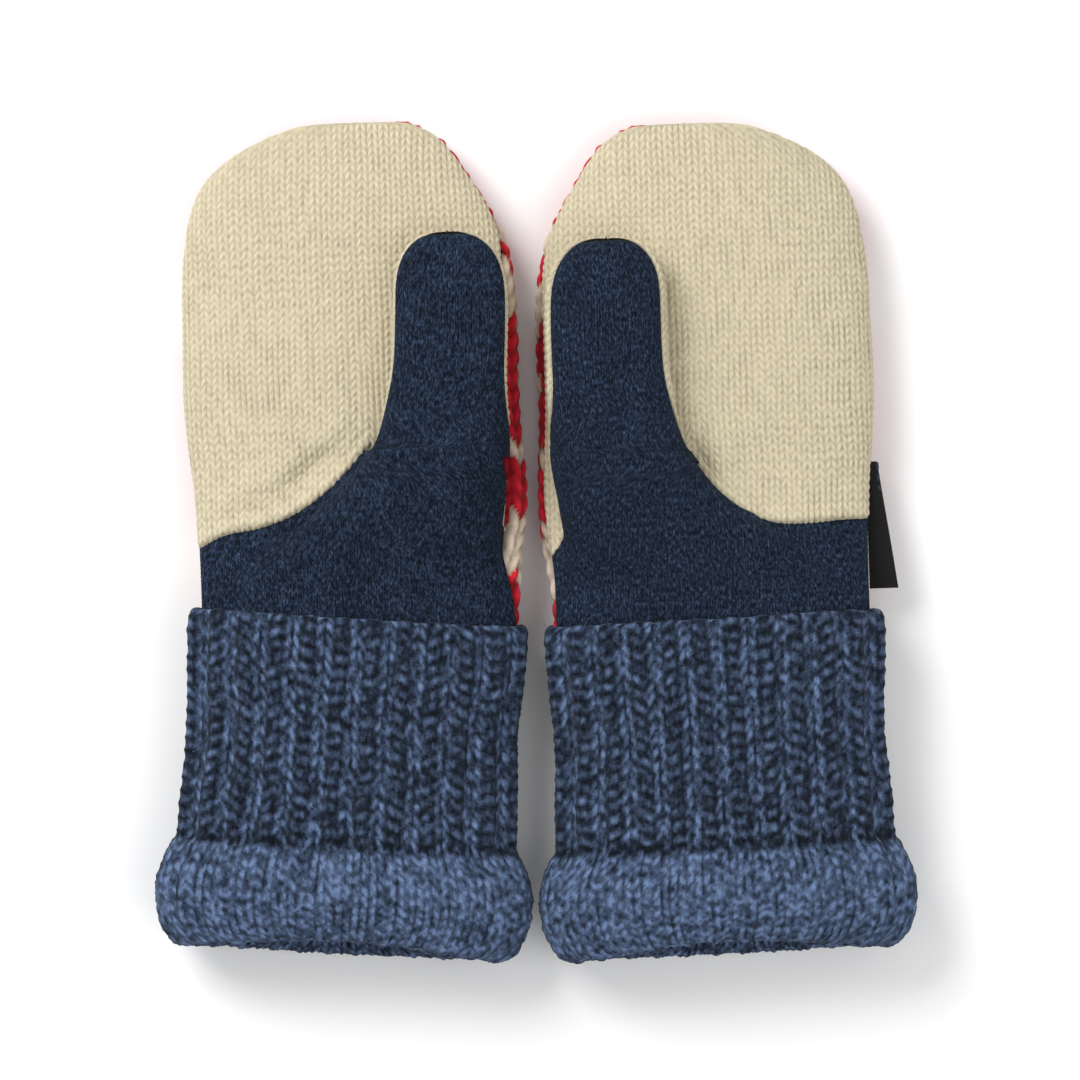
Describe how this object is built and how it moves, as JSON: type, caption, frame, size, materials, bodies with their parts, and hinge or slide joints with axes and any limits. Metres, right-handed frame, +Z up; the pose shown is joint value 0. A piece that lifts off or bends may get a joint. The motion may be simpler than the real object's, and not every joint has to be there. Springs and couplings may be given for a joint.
{
  "type": "knitted mittens",
  "caption": "Pair of lined, cut-and-sewn knitted mittens with a contrasting thumb, knitted back and wide turned-back ribbed cuffs.",
  "frame": {"origin": "on the surface the pair lies on, under the middle of the pair", "axes": "+Y towards the fingertips, +Z up out of the palms, +X from the right-hand mitten to the left-hand one"},
  "size_m": [0.2761, 0.3053, 0.0478],
  "materials": {
    "cream_wool": "cream stockinette knit, soft and matte",
    "navy_jersey": "fine heathered navy jersey, matte",
    "cuff_wool": "thick marled denim-blue ribbed wool, fuzzy",
    "back_wool": "chunky red and cream colourwork knit, matte",
    "fleece_lining": "short dark fleece",
    "label_ribbon": "black woven ribbon, slight sheen, blank",
    "sewing_thread": "twisted sewing thread"
  },
  "bodies": {
    "right_sleeve": {"right_cuff_sleeve": "cuff_wool", "right_wrist_seam_thread": "sewing_thread"},
    "right_turnback": {"right_cuff_turnback": "cuff_wool", "right_cuff_seam_thread": "cuff_wool"},
    "right_hand": {"right_back": "back_wool", "right_upper_palm": "cream_wool", "right_lower_palm": "navy_jersey", "right_lining_back": "fleece_lining", "right_lining_upper_palm": "fleece_lining", "right_lining_lower_palm": "fleece_lining", "right_side_seam_thread": "sewing_thread", "right_palm_seam_thread": "sewing_thread"},
    "right_fingers": {"right_back_tip": "back_wool", "right_palm_tip": "cream_wool", "right_lining_back_tip": "fleece_lining", "right_lining_palm_tip": "fleece_lining", "right_side_seam_thread_tip": "sewing_thread"},
    "right_thumb": {"right_thumb_front": "navy_jersey", "right_thumb_back": "cream_wool", "right_thumb_lining_front": "fleece_lining", "right_thumb_lining_back": "fleece_lining", "right_thumb_seam_thread": "sewing_thread"},
    "left_sleeve": {"left_cuff_sleeve": "cuff_wool", "left_wrist_seam_thread": "sewing_thread"},
    "left_turnback": {"left_cuff_turnback": "cuff_wool", "left_cuff_seam_thread": "cuff_wool"},
    "left_hand": {"left_back": "back_wool", "left_upper_palm": "cream_wool", "left_lower_palm": "navy_jersey", "left_lining_back": "fleece_lining", "left_lining_upper_palm": "fleece_lining", "left_lining_lower_palm": "fleece_lining", "left_side_seam_thread": "sewing_thread", "left_palm_seam_thread": "sewing_thread"},
    "left_fingers": {"left_back_tip": "back_wool", "left_palm_tip": "cream_wool", "left_lining_back_tip": "fleece_lining", "left_lining_palm_tip": "fleece_lining", "left_side_seam_thread_tip": "sewing_thread"},
    "left_thumb": {"left_thumb_front": "navy_jersey", "left_thumb_back": "cream_wool", "left_thumb_lining_front": "fleece_lining", "left_thumb_lining_back": "fleece_lining", "left_thumb_seam_thread": "sewing_thread"},
    "left_label": {"left_label": "label_ribbon", "left_label_stitches": "sewing_thread"}
  },
  "joints": [
    {"name": "mittens_apart", "type": "slide", "parent": "right_sleeve", "child": "left_sleeve", "axis": [1, 0, 0], "range_m": [0, 0.2]},
    {"name": "right_cuff_turndown", "type": "slide", "parent": "right_sleeve", "child": "right_turnback", "axis": [-0.0523, -0.9986, 0], "range_m": [0, 0.08]},
    {"name": "right_wrist_fold", "type": "hinge", "parent": "right_sleeve", "child": "right_hand", "pos_m": [-0.064, -0.029, 0.034], "axis": [1, 0, 0], "range_deg": [0, 40]},
    {"name": "right_finger_fold", "type": "hinge", "parent": "right_hand", "child": "right_fingers", "pos_m": [-0.06863, 0.11042, 0.0273], "axis": [0.9995, 0.0332, 0], "range_deg": [0, 60]},
    {"name": "right_thumb_lift", "type": "hinge", "parent": "right_hand", "child": "right_thumb", "pos_m": [-0.03451, 0.03201, 0.0471], "axis": [0.9995, 0.0332, 0], "range_deg": [0, 70]},
    {"name": "left_cuff_turndown", "type": "slide", "parent": "left_sleeve", "child": "left_turnback", "axis": [0.0523, -0.9986, 0], "range_m": [0, 0.08]},
    {"name": "left_wrist_fold", "type": "hinge", "parent": "left_sleeve", "child": "left_hand", "pos_m": [0.064, -0.029, 0.034], "axis": [1, 0, 0], "range_deg": [0, 40]},
    {"name": "left_finger_fold", "type": "hinge", "parent": "left_hand", "child": "left_fingers", "pos_m": [0.05937, 0.11042, 0.0273], "axis": [0.9995, 0.0332, 0], "range_deg": [0, 60]},
    {"name": "left_thumb_lift", "type": "hinge", "parent": "left_hand", "child": "left_thumb", "pos_m": [0.03053, 0.02992, 0.0471], "axis": [0.9995, 0.0332, 0], "range_deg": [0, 70]},
    {"name": "left_label_flap", "type": "hinge", "parent": "left_hand", "child": "left_label", "pos_m": [0.12567, -0.01795, 0.0133], "axis": [-0.0854, 0.9963, 0], "range_deg": [-60, 80], "stiffness_Nm_per_rad": 0.0005}
  ]
}
